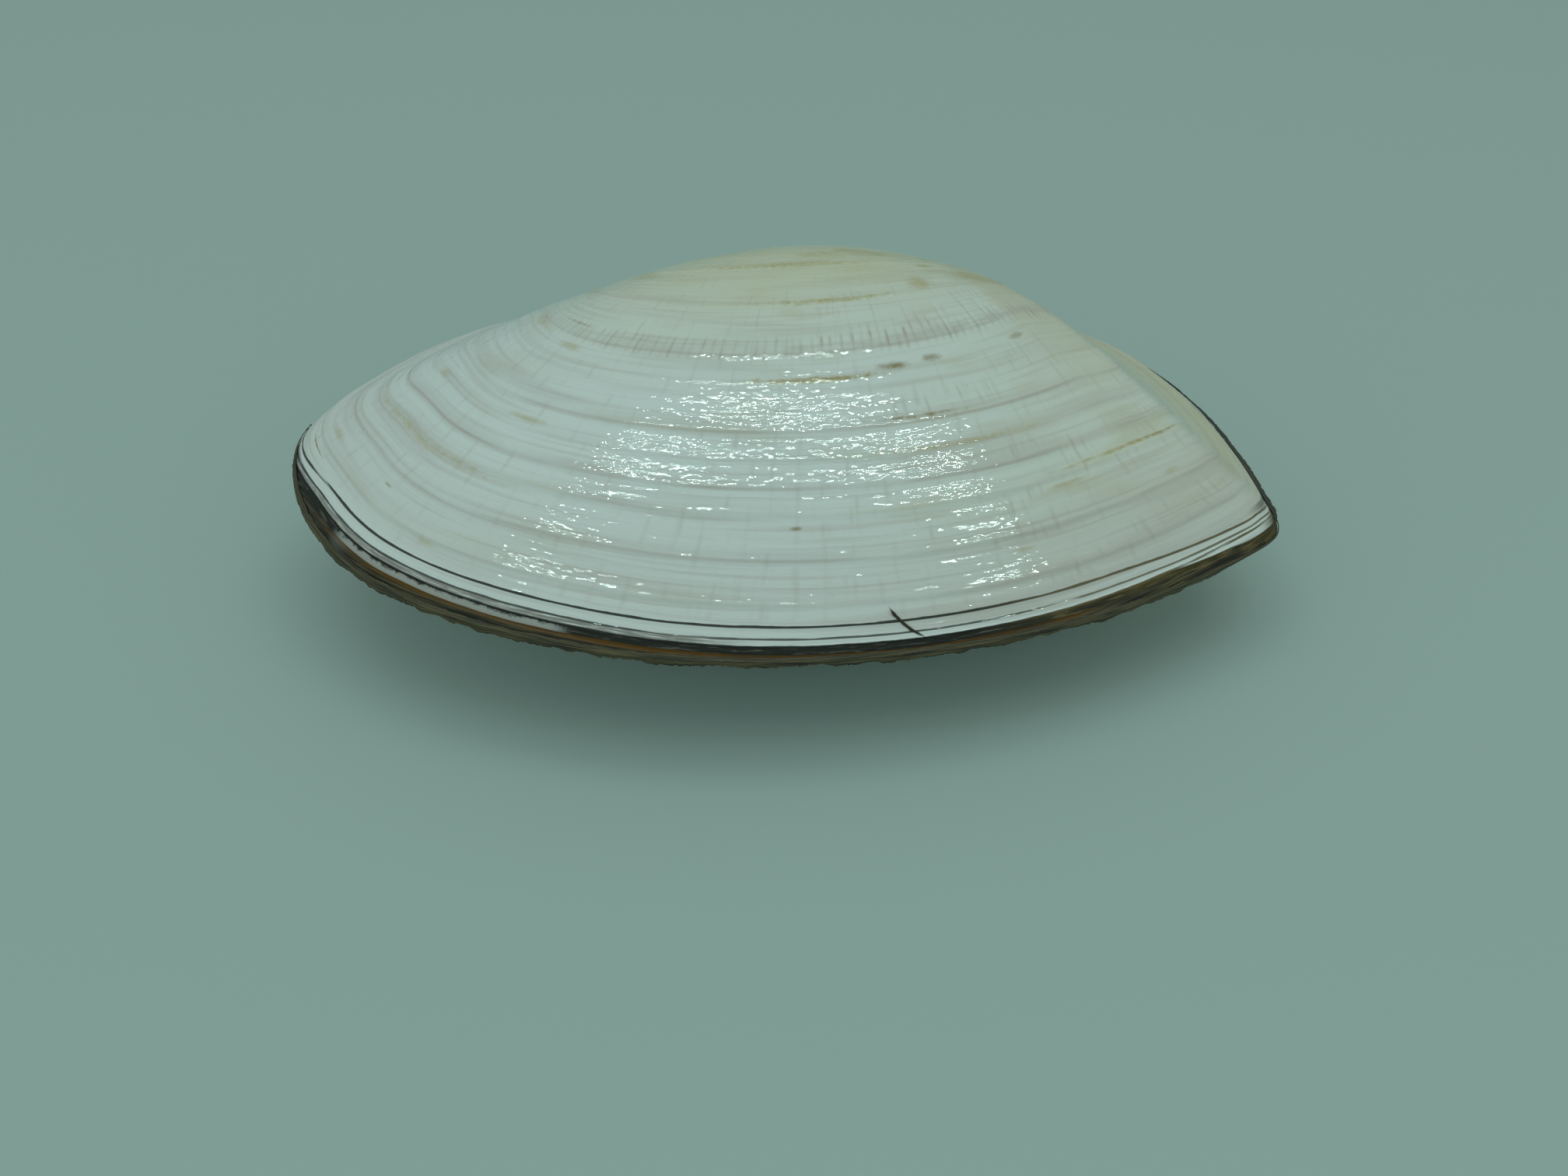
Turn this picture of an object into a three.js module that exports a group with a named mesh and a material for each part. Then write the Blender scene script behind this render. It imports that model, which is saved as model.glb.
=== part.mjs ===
// A tellin: two thin valves, closed, lying on the right valve, with the ligament behind the umbo.
// Each growth stage of a valve is its margin, drawn smaller towards the umbo and swung up about the
// hinge line. u runs to the hind end, v to the hinge, w out of the left valve; the umbo is at 0, 0.
import * as THREE from 'three';
import { NURBSCurve } from 'three/addons/curves/NURBSCurve.js';

// Driving dimensions, in millimetres and degrees

// Control points of the margin, a closed cubic curve: umbo, rounded front end, ventral edge, cut hind end
const MARGIN_CONTROL = [
  [-0.8, 2.9], [-13.9, -2.4], [-31.4, -4.7], [-41.4, -17.4],
  [-46.0, -24.3], [-39.8, -41.0], [-23.2, -49.2], [-3.3, -52.1],
  [22.7, -46.7], [40.6, -34.5], [41.2, -33.2], [35.6, -2.2],
];
const SHELL_LENGTH = 85;
const UMBO_SWING = 74.5;
const SWING_POWER = 1.42;
const LEFT_SWELL = 1.105;
const RIGHT_SWELL = 0.97;
const HIND_SWELL = 0.2;

// The blunt edge that old age gives the margin, and the gap between the two valves
const LIP_HEIGHT = 1.1;
const LIP_REACH = 1.5;
const LIP_REACH_LIMIT = 0.3;
const VALVE_GAP = 0.3;

// Growth halts, as shares of the full-grown size, each with a low ledge at the older edge
const HALTS = [0.956, 0.869, 0.779, 0.696, 0.581];
const LEDGE_HEIGHT = 0.22;
const LEDGE_REACH = 0.025;
const LEDGE_STEP = 0.006;
const LEDGE_FADE = 10;

// The hollow is the outside drawn smaller about a point in the middle of the valve's opening
const HOLLOW_CENTRE = [-12, -38];
const HOLLOW_SCALE = [0.969, 0.95, 0.908];

// How the closed shell lies: ventral edge down, hind end down, and the worn flat that it rests on
const VENTRAL_DIP = 3.65;
const HIND_DIP = 1.75;
const FLAT_DEPTH = 0.3;

// The ligament, between two shares of the way round the margin
const LIGAMENT_START = 0.862;
const LIGAMENT_END = 0.905;
const LIGAMENT_HEIGHT = 1.5;
const LIGAMENT_HALF_WIDTH = 1.3;
const LIGAMENT_GAP = 0.3;

// Mesh fineness
const MARGIN_STEPS = 64;
const LIP_STAGES = [1, 0.99, 0.975];
const UMBO_STAGES = [0.535, 0.48, 0.425, 0.37, 0.31, 0.25, 0.19, 0.13, 0.08, 0.035];
const HOLLOW_STAGES = [1, 0.93, 0.82, 0.68, 0.52, 0.36, 0.22, 0.1];
const LIGAMENT_STATIONS = 16;
const LIGAMENT_SIDES = 12;

// The margin as a closed curve in the plane where the valves meet
function makeMargin() {
  const degree = 3;
  const loop = [...MARGIN_CONTROL, ...MARGIN_CONTROL.slice(0, degree)];
  const points = loop.map(([u, v]) => new THREE.Vector4(u, v, 0, 1));
  const knots = Array.from({ length: points.length + degree + 1 }, (_, i) => i);
  return new NURBSCurve(degree, knots, points, degree, points.length);
}

const margin = makeMargin();

// How far the older edges of the growth halts stand out at stage k
function ledgeRelief(k) {
  const older = HALTS.filter((halt) => k <= halt);
  return older.reduce((sum, halt) => sum + LEDGE_HEIGHT * Math.exp((k - halt) / LEDGE_REACH), 0);
}

// A point of a valve's outside: edge is its point on the margin, k its growth stage
function outsidePoint(edge, k, swell, ledges) {
  const swing = THREE.MathUtils.degToRad(UMBO_SWING) * (1 - k) ** SWING_POWER;
  const reach = Math.max(-edge.y, 0) * (1 + HIND_SWELL * edge.x / SHELL_LENGTH);
  const bevel = Math.min(LIP_REACH / edge.length(), LIP_REACH_LIMIT);
  const lip = LIP_HEIGHT * (1 - Math.exp((k - 1) / bevel)) / (1 - Math.exp(-1 / bevel));
  const relief = ledges ? ledgeRelief(k) * Math.min(1, reach / LEDGE_FADE) : 0;
  return new THREE.Vector3(
    edge.x * k,
    edge.y * k * Math.cos(swing),
    VALVE_GAP / 2 + swell * reach * k * Math.sin(swing) + lip + relief,
  );
}

// A point of a valve's hollow, inside the outside point of the same edge and stage
function hollowPoint(edge, k, swell) {
  const centre = new THREE.Vector3(...HOLLOW_CENTRE, VALVE_GAP / 2);
  const scale = new THREE.Vector3(...HOLLOW_SCALE);
  return outsidePoint(edge, k, swell, false).sub(centre).multiply(scale).add(centre);
}

// The growth stages that the outside's rows follow, with two rows at each ledge
function outsideStages() {
  const stages = [...LIP_STAGES];
  HALTS.forEach((halt, i) => {
    if (i > 0) stages.push((HALTS[i - 1] + halt) / 2);
    stages.push(halt + LEDGE_STEP, halt);
  });
  return [...stages, ...UMBO_STAGES];
}

// Triangles of a closed skin made of rings of equal count, with a pole before the first and after the last
function ringTriangles(rings, count) {
  const triangles = [];
  const last = rings * count + 1;
  const at = (ring, step) => 1 + ring * count + step % count;
  for (let step = 0; step < count; step += 1) {
    triangles.push(0, at(0, step), at(0, step + 1));
    for (let ring = 0; ring + 1 < rings; ring += 1) {
      triangles.push(at(ring, step), at(ring + 1, step), at(ring + 1, step + 1));
      triangles.push(at(ring, step), at(ring + 1, step + 1), at(ring, step + 1));
    }
    triangles.push(last, at(rings - 1, step + 1), at(rings - 1, step));
  }
  return triangles;
}

// A geometry from rings of points between two poles; flip turns a mirrored skin's faces outwards
function skinGeometry(firstPole, rings, lastPole, flip) {
  const points = [firstPole, ...rings.flat(), lastPole];
  const triangles = ringTriangles(rings.length, rings[0].length);
  const geometry = new THREE.BufferGeometry().setFromPoints(points);
  geometry.setIndex(flip ? triangles.reverse() : triangles);
  geometry.computeVertexNormals();
  return geometry;
}

// One valve: its outside from the umbo to the margin, then its hollow back to under the umbo
function makeValve(swell, side) {
  const edges = Array.from({ length: MARGIN_STEPS }, (_, i) => margin.getPoint(i / MARGIN_STEPS));
  const mirror = new THREE.Vector3(1, 1, side);
  const outside = outsideStages().reverse().map((k) => edges.map((edge) => outsidePoint(edge, k, swell, true)));
  const hollow = HOLLOW_STAGES.map((k) => edges.map((edge) => hollowPoint(edge, k, swell)));
  const rings = [...outside, ...hollow];
  rings.flat().forEach((point) => point.multiply(mirror));
  const beak = outsidePoint(edges[0], 0, swell, true).multiply(mirror);
  const hollowEnd = hollowPoint(edges[0], 0, swell).multiply(mirror);
  return skinGeometry(beak, rings, hollowEnd, side < 0);
}

// The worn flat under the shell: what lies lower is moved up to it, along the true vertical
function wearFlat(geometry, lie) {
  const up = new THREE.Vector3(0, 0, 1).applyQuaternion(lie.clone().invert());
  const position = geometry.getAttribute('position');
  const point = new THREE.Vector3();
  const heights = Array.from({ length: position.count }, (_, i) => point.fromBufferAttribute(position, i).dot(up));
  const floor = Math.min(...heights) + FLAT_DEPTH;
  heights.forEach((height, i) => {
    if (height >= floor) return;
    point.fromBufferAttribute(position, i).addScaledVector(up, floor - height);
    position.setXYZ(i, point.x, point.y, point.z);
  });
}

// The ligament: a spindle along the hind part of the hinge line, just outside both margins
function makeLigament() {
  const share = (i) => THREE.MathUtils.lerp(LIGAMENT_START, LIGAMENT_END, i / LIGAMENT_STATIONS);
  const outwards = (t) => {
    const along = margin.getTangent(t);
    return new THREE.Vector3(along.y, -along.x, 0);
  };
  const station = (i) => {
    const middle = 2 * i / LIGAMENT_STATIONS - 1;
    const thickness = Math.sqrt(1 - middle ** 4);
    const root = margin.getPoint(share(i));
    const out = outwards(share(i));
    return Array.from({ length: LIGAMENT_SIDES }, (_, j) => {
      const turn = 2 * Math.PI * j / LIGAMENT_SIDES;
      const rise = LIGAMENT_GAP + LIGAMENT_HEIGHT / 2 * (1 + thickness * Math.cos(turn));
      const point = root.clone().addScaledVector(out, rise);
      point.z += LIGAMENT_HALF_WIDTH * thickness * Math.sin(turn);
      return point;
    });
  };
  const tip = (i) => {
    return margin.getPoint(share(i)).addScaledVector(outwards(share(i)), LIGAMENT_GAP + LIGAMENT_HEIGHT / 2);
  };
  const rings = Array.from({ length: LIGAMENT_STATIONS - 1 }, (_, i) => station(i + 1));
  return skinGeometry(tip(0), rings, tip(LIGAMENT_STATIONS), false);
}

const porcelain = new THREE.MeshStandardMaterial({ color: 0xe6e1d6, roughness: 0.35, metalness: 0 });
const hornBrown = new THREE.MeshStandardMaterial({ color: 0x4a2f1b, roughness: 0.55, metalness: 0 });

const shell = new THREE.Group();
shell.rotation.set(THREE.MathUtils.degToRad(VENTRAL_DIP), THREE.MathUtils.degToRad(HIND_DIP), 0);

function addPiece(name, geometry, material) {
  const mesh = new THREE.Mesh(geometry, material);
  mesh.name = name;
  shell.add(mesh);
}

const rightValve = makeValve(RIGHT_SWELL, -1);
wearFlat(rightValve, shell.quaternion);

addPiece('left_valve', makeValve(LEFT_SWELL, 1), porcelain);
addPiece('right_valve', rightValve, porcelain);
addPiece('ligament', makeLigament(), hornBrown);

// The origin is under the middle of the shell, on the surface that it lies on
const part = new THREE.Group();
part.add(shell);
part.updateMatrixWorld(true);
const box = new THREE.Box3().setFromObject(shell, true);
shell.position.set(-(box.min.x + box.max.x) / 2, -(box.min.y + box.max.y) / 2, -box.min.z);

export default part;
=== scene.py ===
"""The looks of a closed tellin: valves grown by rule, the horny skin of their margins, and the ligament."""

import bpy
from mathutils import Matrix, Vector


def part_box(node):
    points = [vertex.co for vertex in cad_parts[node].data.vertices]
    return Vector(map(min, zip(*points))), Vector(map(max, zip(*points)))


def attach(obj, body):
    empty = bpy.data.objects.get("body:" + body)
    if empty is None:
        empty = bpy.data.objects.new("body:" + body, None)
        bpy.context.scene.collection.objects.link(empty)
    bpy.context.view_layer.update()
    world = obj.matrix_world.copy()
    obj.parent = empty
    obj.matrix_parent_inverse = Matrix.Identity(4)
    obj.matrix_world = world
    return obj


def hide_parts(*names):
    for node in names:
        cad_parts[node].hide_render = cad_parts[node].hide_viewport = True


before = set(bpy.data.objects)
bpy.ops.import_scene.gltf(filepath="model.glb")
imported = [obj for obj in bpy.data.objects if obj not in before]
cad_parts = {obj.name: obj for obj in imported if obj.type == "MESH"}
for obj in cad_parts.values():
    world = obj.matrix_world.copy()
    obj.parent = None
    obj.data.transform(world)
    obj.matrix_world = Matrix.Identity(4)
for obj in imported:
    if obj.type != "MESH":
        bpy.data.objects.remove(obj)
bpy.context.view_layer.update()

import logging
import math
from dataclasses import dataclass
from enum import Enum
from typing import Mapping

import bmesh
import bpy
import numpy as np
from mathutils import Euler, Matrix, Vector

LOG = logging.getLogger("tellin")
MM = 0.001
BODY = "root"
GROWTH_MAP = "growth_map"
Colour = tuple[float, float, float]
Span = tuple[float, float]


class Side(Enum):
    """Which valve a piece belongs to; the value is the way that its outside faces."""

    LEFT = 1.0
    RIGHT = -1.0


@dataclass(frozen=True)
class Value:
    """A node socket's output that formulas can be written with."""

    graph: "Graph"
    socket: bpy.types.NodeSocket

    def __add__(self, other: "Number") -> "Value":
        """The sum of both."""
        return self.graph.math("ADD", self, other)

    def __sub__(self, other: "Number") -> "Value":
        """This less the other."""
        return self.graph.math("SUBTRACT", self, other)

    def __rsub__(self, other: "Number") -> "Value":
        """The other less this."""
        return self.graph.math("SUBTRACT", other, self)

    def __mul__(self, other: "Number") -> "Value":
        """The product of both."""
        return self.graph.math("MULTIPLY", self, other)

    def __truediv__(self, other: "Number") -> "Value":
        """This divided by the other."""
        return self.graph.math("DIVIDE", self, other)

    def __pow__(self, other: "Number") -> "Value":
        """This to the other's power."""
        return self.graph.math("POWER", self, other)


Number = Value | float


class Graph:
    """A node tree that is being written, for geometry or for a shader."""

    def __init__(self, tree: bpy.types.NodeTree) -> None:
        """Keeps the tree that the nodes go into."""
        self.tree = tree

    def node(self, kind: str, **settings: object) -> bpy.types.Node:
        """Adds a node.

        Args:
            kind: Blender's name for the node's type.
            settings: properties of the node to set.

        Returns:
            The new node.
        """
        made = self.tree.nodes.new(kind)
        for name, value in settings.items():
            setattr(made, name, value)
        return made

    def put(self, socket: bpy.types.NodeSocket, value: object) -> None:
        """Links a Value to an input, or sets a plain value on it.

        Args:
            socket: the input.
            value: a Value to link, or a plain value to set.
        """
        if isinstance(value, Value):
            self.tree.links.new(value.socket, socket)
        else:
            socket.default_value = value

    def call(
        self, kind: str, inputs: Mapping[object, object], output: object = 0, **settings: object
    ) -> Value:
        """Adds a node and feeds it.

        Args:
            kind: Blender's name for the node's type.
            inputs: what each input takes, by the socket's name or index.
            output: the name or index of the output to return.
            settings: properties of the node to set.

        Returns:
            The chosen output.
        """
        made = self.node(kind, **settings)
        for key, value in inputs.items():
            self.put(made.inputs[key], value)
        return Value(self, made.outputs[output])

    def math(self, operation: str, *terms: Number) -> Value:
        """One arithmetic step on one to three terms."""
        return self.call("ShaderNodeMath", dict(enumerate(terms)), operation=operation)

    def exp(self, power: Number) -> Value:
        """The exponential of a number."""
        return self.math("EXPONENT", power)

    def least(self, first: Number, second: Number) -> Value:
        """The smaller of two numbers."""
        return self.math("MINIMUM", first, second)

    def most(self, first: Number, second: Number) -> Value:
        """The larger of two numbers."""
        return self.math("MAXIMUM", first, second)

    def ease(self, value: Number, start: Number, end: Number) -> Value:
        """A smooth step from 0 at start to 1 at end; start may be the larger."""
        inputs = {"Value": value, "From Min": start, "From Max": end}
        return self.call("ShaderNodeMapRange", inputs, interpolation_type="SMOOTHSTEP")

    def line(self, value: Number, centre: Number, half: Number, soft: float) -> Value:
        """1 within half of centre, fading to 0 over soft."""
        away = self.math("ABSOLUTE", value - centre)
        return 1.0 - self.ease(away, half, half + soft)

    def span(self, value: Value, start: float, end: float, soft: float) -> Value:
        """1 between start and end, fading to 0 over soft on both sides."""
        return self.ease(value, start - soft, start) * (1.0 - self.ease(value, end, end + soft))

    def vector(self, x: Number, y: Number, z: Number) -> Value:
        """A vector from its parts."""
        return self.call("ShaderNodeCombineXYZ", {0: x, 1: y, 2: z})

    def parts(self, vector: Value) -> tuple[Value, Value, Value]:
        """The three parts of a vector.

        Args:
            vector: the vector.

        Returns:
            Its parts along x, y and z.
        """
        made = self.node("ShaderNodeSeparateXYZ")
        self.put(made.inputs[0], vector)
        return tuple(Value(self, socket) for socket in made.outputs)

    def noise(self, place: Value, scale: float = 1.0, detail: float = 2.0, roughness: float = 0.5) -> Value:
        """Smooth noise around a half at a place."""
        inputs = {"Vector": place, "Scale": scale, "Detail": detail, "Roughness": roughness}
        return self.call("ShaderNodeTexNoise", inputs)

    def cracks(self, along: Value, randomness: float = 1.0) -> Value:
        """The way to the nearest border between random cells, one to each whole step along.

        Args:
            along: the place, with one cell to each whole step.
            randomness: how far the borders stray from an even spacing.

        Returns:
            0 on a border, and more between two of them.
        """
        inputs = {"W": along, "Scale": 1.0, "Randomness": randomness}
        return self.call(
            "ShaderNodeTexVoronoi", inputs, "Distance", voronoi_dimensions="1D", feature="DISTANCE_TO_EDGE"
        )

    def paint(self, under: object, over: object, share: Number) -> Value:
        """One colour laid over another.

        Args:
            under: the colour below, a Value or three numbers.
            over: the colour on top, a Value or three numbers.
            share: how much of the top colour shows.

        Returns:
            The mixed colour.
        """
        made = self.node("ShaderNodeMix", data_type="RGBA", clamp_factor=True)
        self.put(made.inputs[0], share)
        for socket, colour in ((made.inputs[6], under), (made.inputs[7], over)):
            self.put(socket, colour if isinstance(colour, Value) else (*colour, 1.0))
        return Value(self, made.outputs[2])


class Recipe:
    """A geometry node tree with named inputs that is run once and leaves a plain mesh."""

    SOCKETS = {
        int: "NodeSocketInt", float: "NodeSocketFloat", Vector: "NodeSocketVector", Euler: "NodeSocketVector",
        bpy.types.Object: "NodeSocketObject", bpy.types.Material: "NodeSocketMaterial",
    }
    WELD_DISTANCE = 1e-7

    def __init__(self, name: str, settings: Mapping[str, object]) -> None:
        """Makes the tree.

        Args:
            name: the tree's name.
            settings: a value for each named input, whose type gives the socket's.
        """
        self.settings = settings
        self.tree = bpy.data.node_groups.new(name, "GeometryNodeTree")
        for title, value in settings.items():
            self.tree.interface.new_socket(title, in_out="INPUT", socket_type=self.SOCKETS[type(value)])
        self.tree.interface.new_socket("Geometry", in_out="OUTPUT", socket_type="NodeSocketGeometry")
        self.graph = Graph(self.tree)
        self.entry = self.graph.node("NodeGroupInput")
        self.exit = self.graph.node("NodeGroupOutput")

    def __getitem__(self, name: str) -> Value:
        """The named input."""
        return Value(self.graph, self.entry.outputs[name])

    def position(self) -> Value:
        """Each point's position."""
        return self.graph.call("GeometryNodeInputPosition", {})

    def grid(self, columns: Number, rows: Number) -> tuple[Value, Value, Value]:
        """A unit grid.

        Args:
            columns: steps across.
            rows: steps up.

        Returns:
            The mesh, and each point's share of the way across and up.
        """
        inputs = {"Size X": 1.0, "Size Y": 1.0, "Vertices X": columns + 1, "Vertices Y": rows + 1}
        mesh = self.graph.call("GeometryNodeMeshGrid", inputs, "Mesh")
        across, up, _ = self.graph.parts(self.position())
        return mesh, across + 0.5, up + 0.5

    def store(self, mesh: Value, name: str, value: Value, kind: str, domain: str = "POINT") -> Value:
        """The mesh with a named attribute added."""
        inputs = {"Geometry": mesh, "Name": name, "Value": value}
        return self.graph.call("GeometryNodeStoreNamedAttribute", inputs, data_type=kind, domain=domain)

    def stored(self, name: str, kind: str) -> Value:
        """A named attribute that was stored before."""
        return self.graph.call("GeometryNodeInputNamedAttribute", {"Name": name}, data_type=kind)

    def place(self, mesh: Value, position: Value) -> Value:
        """The mesh with its points at new positions."""
        return self.graph.call("GeometryNodeSetPosition", {"Geometry": mesh, "Position": position})

    def swell(self, mesh: Value, height: Value) -> Value:
        """The mesh with its points moved along their normals.

        Args:
            mesh: the mesh.
            height: how far each point moves.

        Returns:
            The moved mesh.
        """
        normal = self.graph.call("GeometryNodeInputNormal", {})
        offset = self.graph.call("ShaderNodeVectorMath", {0: normal, "Scale": height}, operation="SCALE")
        return self.graph.call("GeometryNodeSetPosition", {"Geometry": mesh, "Offset": offset})

    def weld(self, mesh: Value) -> Value:
        """The mesh with points in one place made one."""
        inputs = {"Geometry": mesh, "Distance": self.WELD_DISTANCE}
        return self.graph.call("GeometryNodeMergeByDistance", inputs)

    def join(self, *meshes: Value) -> Value:
        """Several meshes as one.

        Args:
            meshes: the meshes to join.

        Returns:
            The joined mesh.
        """
        made = self.graph.node("GeometryNodeJoinGeometry")
        for mesh in reversed(meshes):
            self.graph.put(made.inputs[0], mesh)
        return Value(self.graph, made.outputs[0])

    def finish(self, mesh: Value) -> None:
        """Ends the tree in a real, smooth, dressed mesh.

        Args:
            mesh: the mesh.
        """
        smooth = self.graph.call("GeometryNodeSetShadeSmooth", {"Geometry": mesh})
        real = self.graph.call("GeometryNodeRealizeInstances", {"Geometry": smooth})
        dressed = self.graph.call("GeometryNodeSetMaterial", {"Geometry": real, "Material": self["Material"]})
        self.graph.put(self.exit.inputs["Geometry"], dressed)

    def run(self, name: str) -> bpy.types.Object:
        """Runs the tree.

        Args:
            name: the piece's name.

        Returns:
            A plain mesh object, its normals facing out.
        """
        host = bpy.data.objects.new(name + "_host", bpy.data.meshes.new(name + "_host"))
        bpy.context.scene.collection.objects.link(host)
        modifier = host.modifiers.new("recipe", "NODES")
        modifier.node_group = self.tree
        for item in self.tree.interface.items_tree:
            if item.in_out == "INPUT":
                modifier[item.identifier] = self.settings[item.name]
        depsgraph = bpy.context.evaluated_depsgraph_get()
        mesh = bpy.data.meshes.new_from_object(host.evaluated_get(depsgraph), depsgraph=depsgraph)
        host.modifiers.clear()
        bpy.data.objects.remove(host)
        mesh.name = name
        face_outwards(mesh)
        piece = bpy.data.objects.new(name, mesh)
        bpy.context.scene.collection.objects.link(piece)
        return piece


def face_outwards(mesh: bpy.types.Mesh) -> None:
    """Turns every face of a closed mesh outwards.

    Args:
        mesh: the mesh.
    """
    work = bmesh.new()
    work.from_mesh(mesh)
    bmesh.ops.recalc_face_normals(work, faces=work.faces)
    work.to_mesh(mesh)
    work.free()


@dataclass(frozen=True)
class GrowthLine:
    """A halt in growth: its share of the full size, its ledge's height, its darkness and how ochre it is."""

    stage: float
    ledge: float
    shade: float
    ochre: float = 0.0


@dataclass(frozen=True)
class ShellForm:
    """The form that both valves share, in metres: u to the hind end, v to the hinge, the umbo at 0, 0."""

    margin_control: tuple[tuple[float, float], ...] = (
        (-0.8, 2.9), (-13.9, -2.4), (-31.4, -4.7), (-41.4, -17.4),
        (-46.0, -24.3), (-39.8, -41.0), (-23.2, -49.2), (-3.3, -52.1),
        (22.7, -46.7), (40.6, -34.5), (41.2, -33.2), (35.6, -2.2),
    )
    margin_steps: int = 1440
    hinge_steps: int = 240
    length: float = 85 * MM
    umbo_swing: float = math.radians(74.5)
    swing_power: float = 1.42
    left_swell: float = 1.105
    right_swell: float = 0.97
    hind_swell: float = 0.2
    lip_height: float = 1.1 * MM
    lip_reach: float = 1.5 * MM
    lip_reach_limit: float = 0.3
    valve_gap: float = 0.3 * MM
    hollow_centre: tuple[float, float] = (-12 * MM, -38 * MM)
    hollow_scale: tuple[float, float, float] = (0.969, 0.95, 0.908)
    ventral_dip: float = math.radians(3.65)
    hind_dip: float = math.radians(1.75)
    lines: tuple[GrowthLine, ...] = (
        GrowthLine(0.9535, 0.09 * MM, 0.0),
        GrowthLine(0.925, 0.19 * MM, 0.35, 0.5),
        GrowthLine(0.868, 0.15 * MM, 0.6, 0.2),
        GrowthLine(0.81, 0.14 * MM, 0.3, 1.0),
        GrowthLine(0.777, 0.13 * MM, 0.8),
        GrowthLine(0.74, 0.05 * MM, 0.3, 0.9),
        GrowthLine(0.702, 0.14 * MM, 0.7, 0.3),
        GrowthLine(0.63, 0.05 * MM, 0.2, 0.6),
        GrowthLine(0.588, 0.10 * MM, 0.5, 0.1),
        GrowthLine(0.49, 0.06 * MM, 0.4, 0.8),
        GrowthLine(0.384, 0.06 * MM, 0.5, 1.0),
    )

    def swell(self, side: Side) -> float:
        """How far the valve on a side swells out."""
        return self.left_swell if side is Side.LEFT else self.right_swell

    def margin(self) -> np.ndarray:
        """Points round the margin, a closed cubic curve, from behind the umbo by way of the front end.

        Returns:
            A row to each point, in metres.
        """
        control = np.array(self.margin_control) * MM
        place = np.arange(self.margin_steps) * len(control) / self.margin_steps
        first = place.astype(int)
        t = (place - first)[:, None]
        near = [control[(first + step) % len(control)] for step in (-1, 0, 1, 2)]
        weights = ((1 - t) ** 3, 3 * t**3 - 6 * t**2 + 4, -3 * t**3 + 3 * t**2 + 3 * t + 1, t**3)
        flat = sum(weight * point for weight, point in zip(weights, near)) / 6
        return np.column_stack([flat, np.zeros(len(flat))])

    def margin_curve(self) -> bpy.types.Object:
        """The margin as a closed curve for the recipes to follow.

        Returns:
            The curve's object, in the scene.
        """
        data = bpy.data.curves.new("margin", "CURVE")
        data.dimensions = "3D"
        spline = data.splines.new("POLY")
        spline.points.add(self.margin_steps - 1)
        points = np.column_stack([self.margin(), np.ones(self.margin_steps)])
        spline.points.foreach_set("co", points.astype(np.float32).ravel())
        spline.use_cyclic_u = True
        curve = bpy.data.objects.new("margin", data)
        bpy.context.scene.collection.objects.link(curve)
        return curve

    def share_at(self, u: float) -> float:
        """The share of the way round where the hinge edge behind the umbo is at u.

        Args:
            u: the place along the shell's length.

        Returns:
            The share, from 0 to 1.
        """
        loop = self.margin()
        steps = np.linalg.norm(np.diff(loop, axis=0, append=loop[:1]), axis=1)
        shares = np.concatenate([[0.0], np.cumsum(steps)[:-1]]) / steps.sum()
        hinge = slice(-self.hinge_steps, None)
        return float(np.interp(-u, -loop[hinge, 0], shares[hinge]))

    def lie(self) -> Matrix:
        """How the shell lies: from its own axes to the row frame, set by the left valve's margin.

        Returns:
            The matrix of its turn and place.
        """
        turn = Matrix.Rotation(self.ventral_dip, 3, "X") @ Matrix.Rotation(self.hind_dip, 3, "Y")
        rim = self.margin() + [0, 0, self.valve_gap / 2]
        lowest = (rim @ np.array(turn).T).min(axis=0)
        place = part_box("left_valve")[0] - Vector(lowest)
        return Matrix.Translation(place) @ turn.to_4x4()


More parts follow.
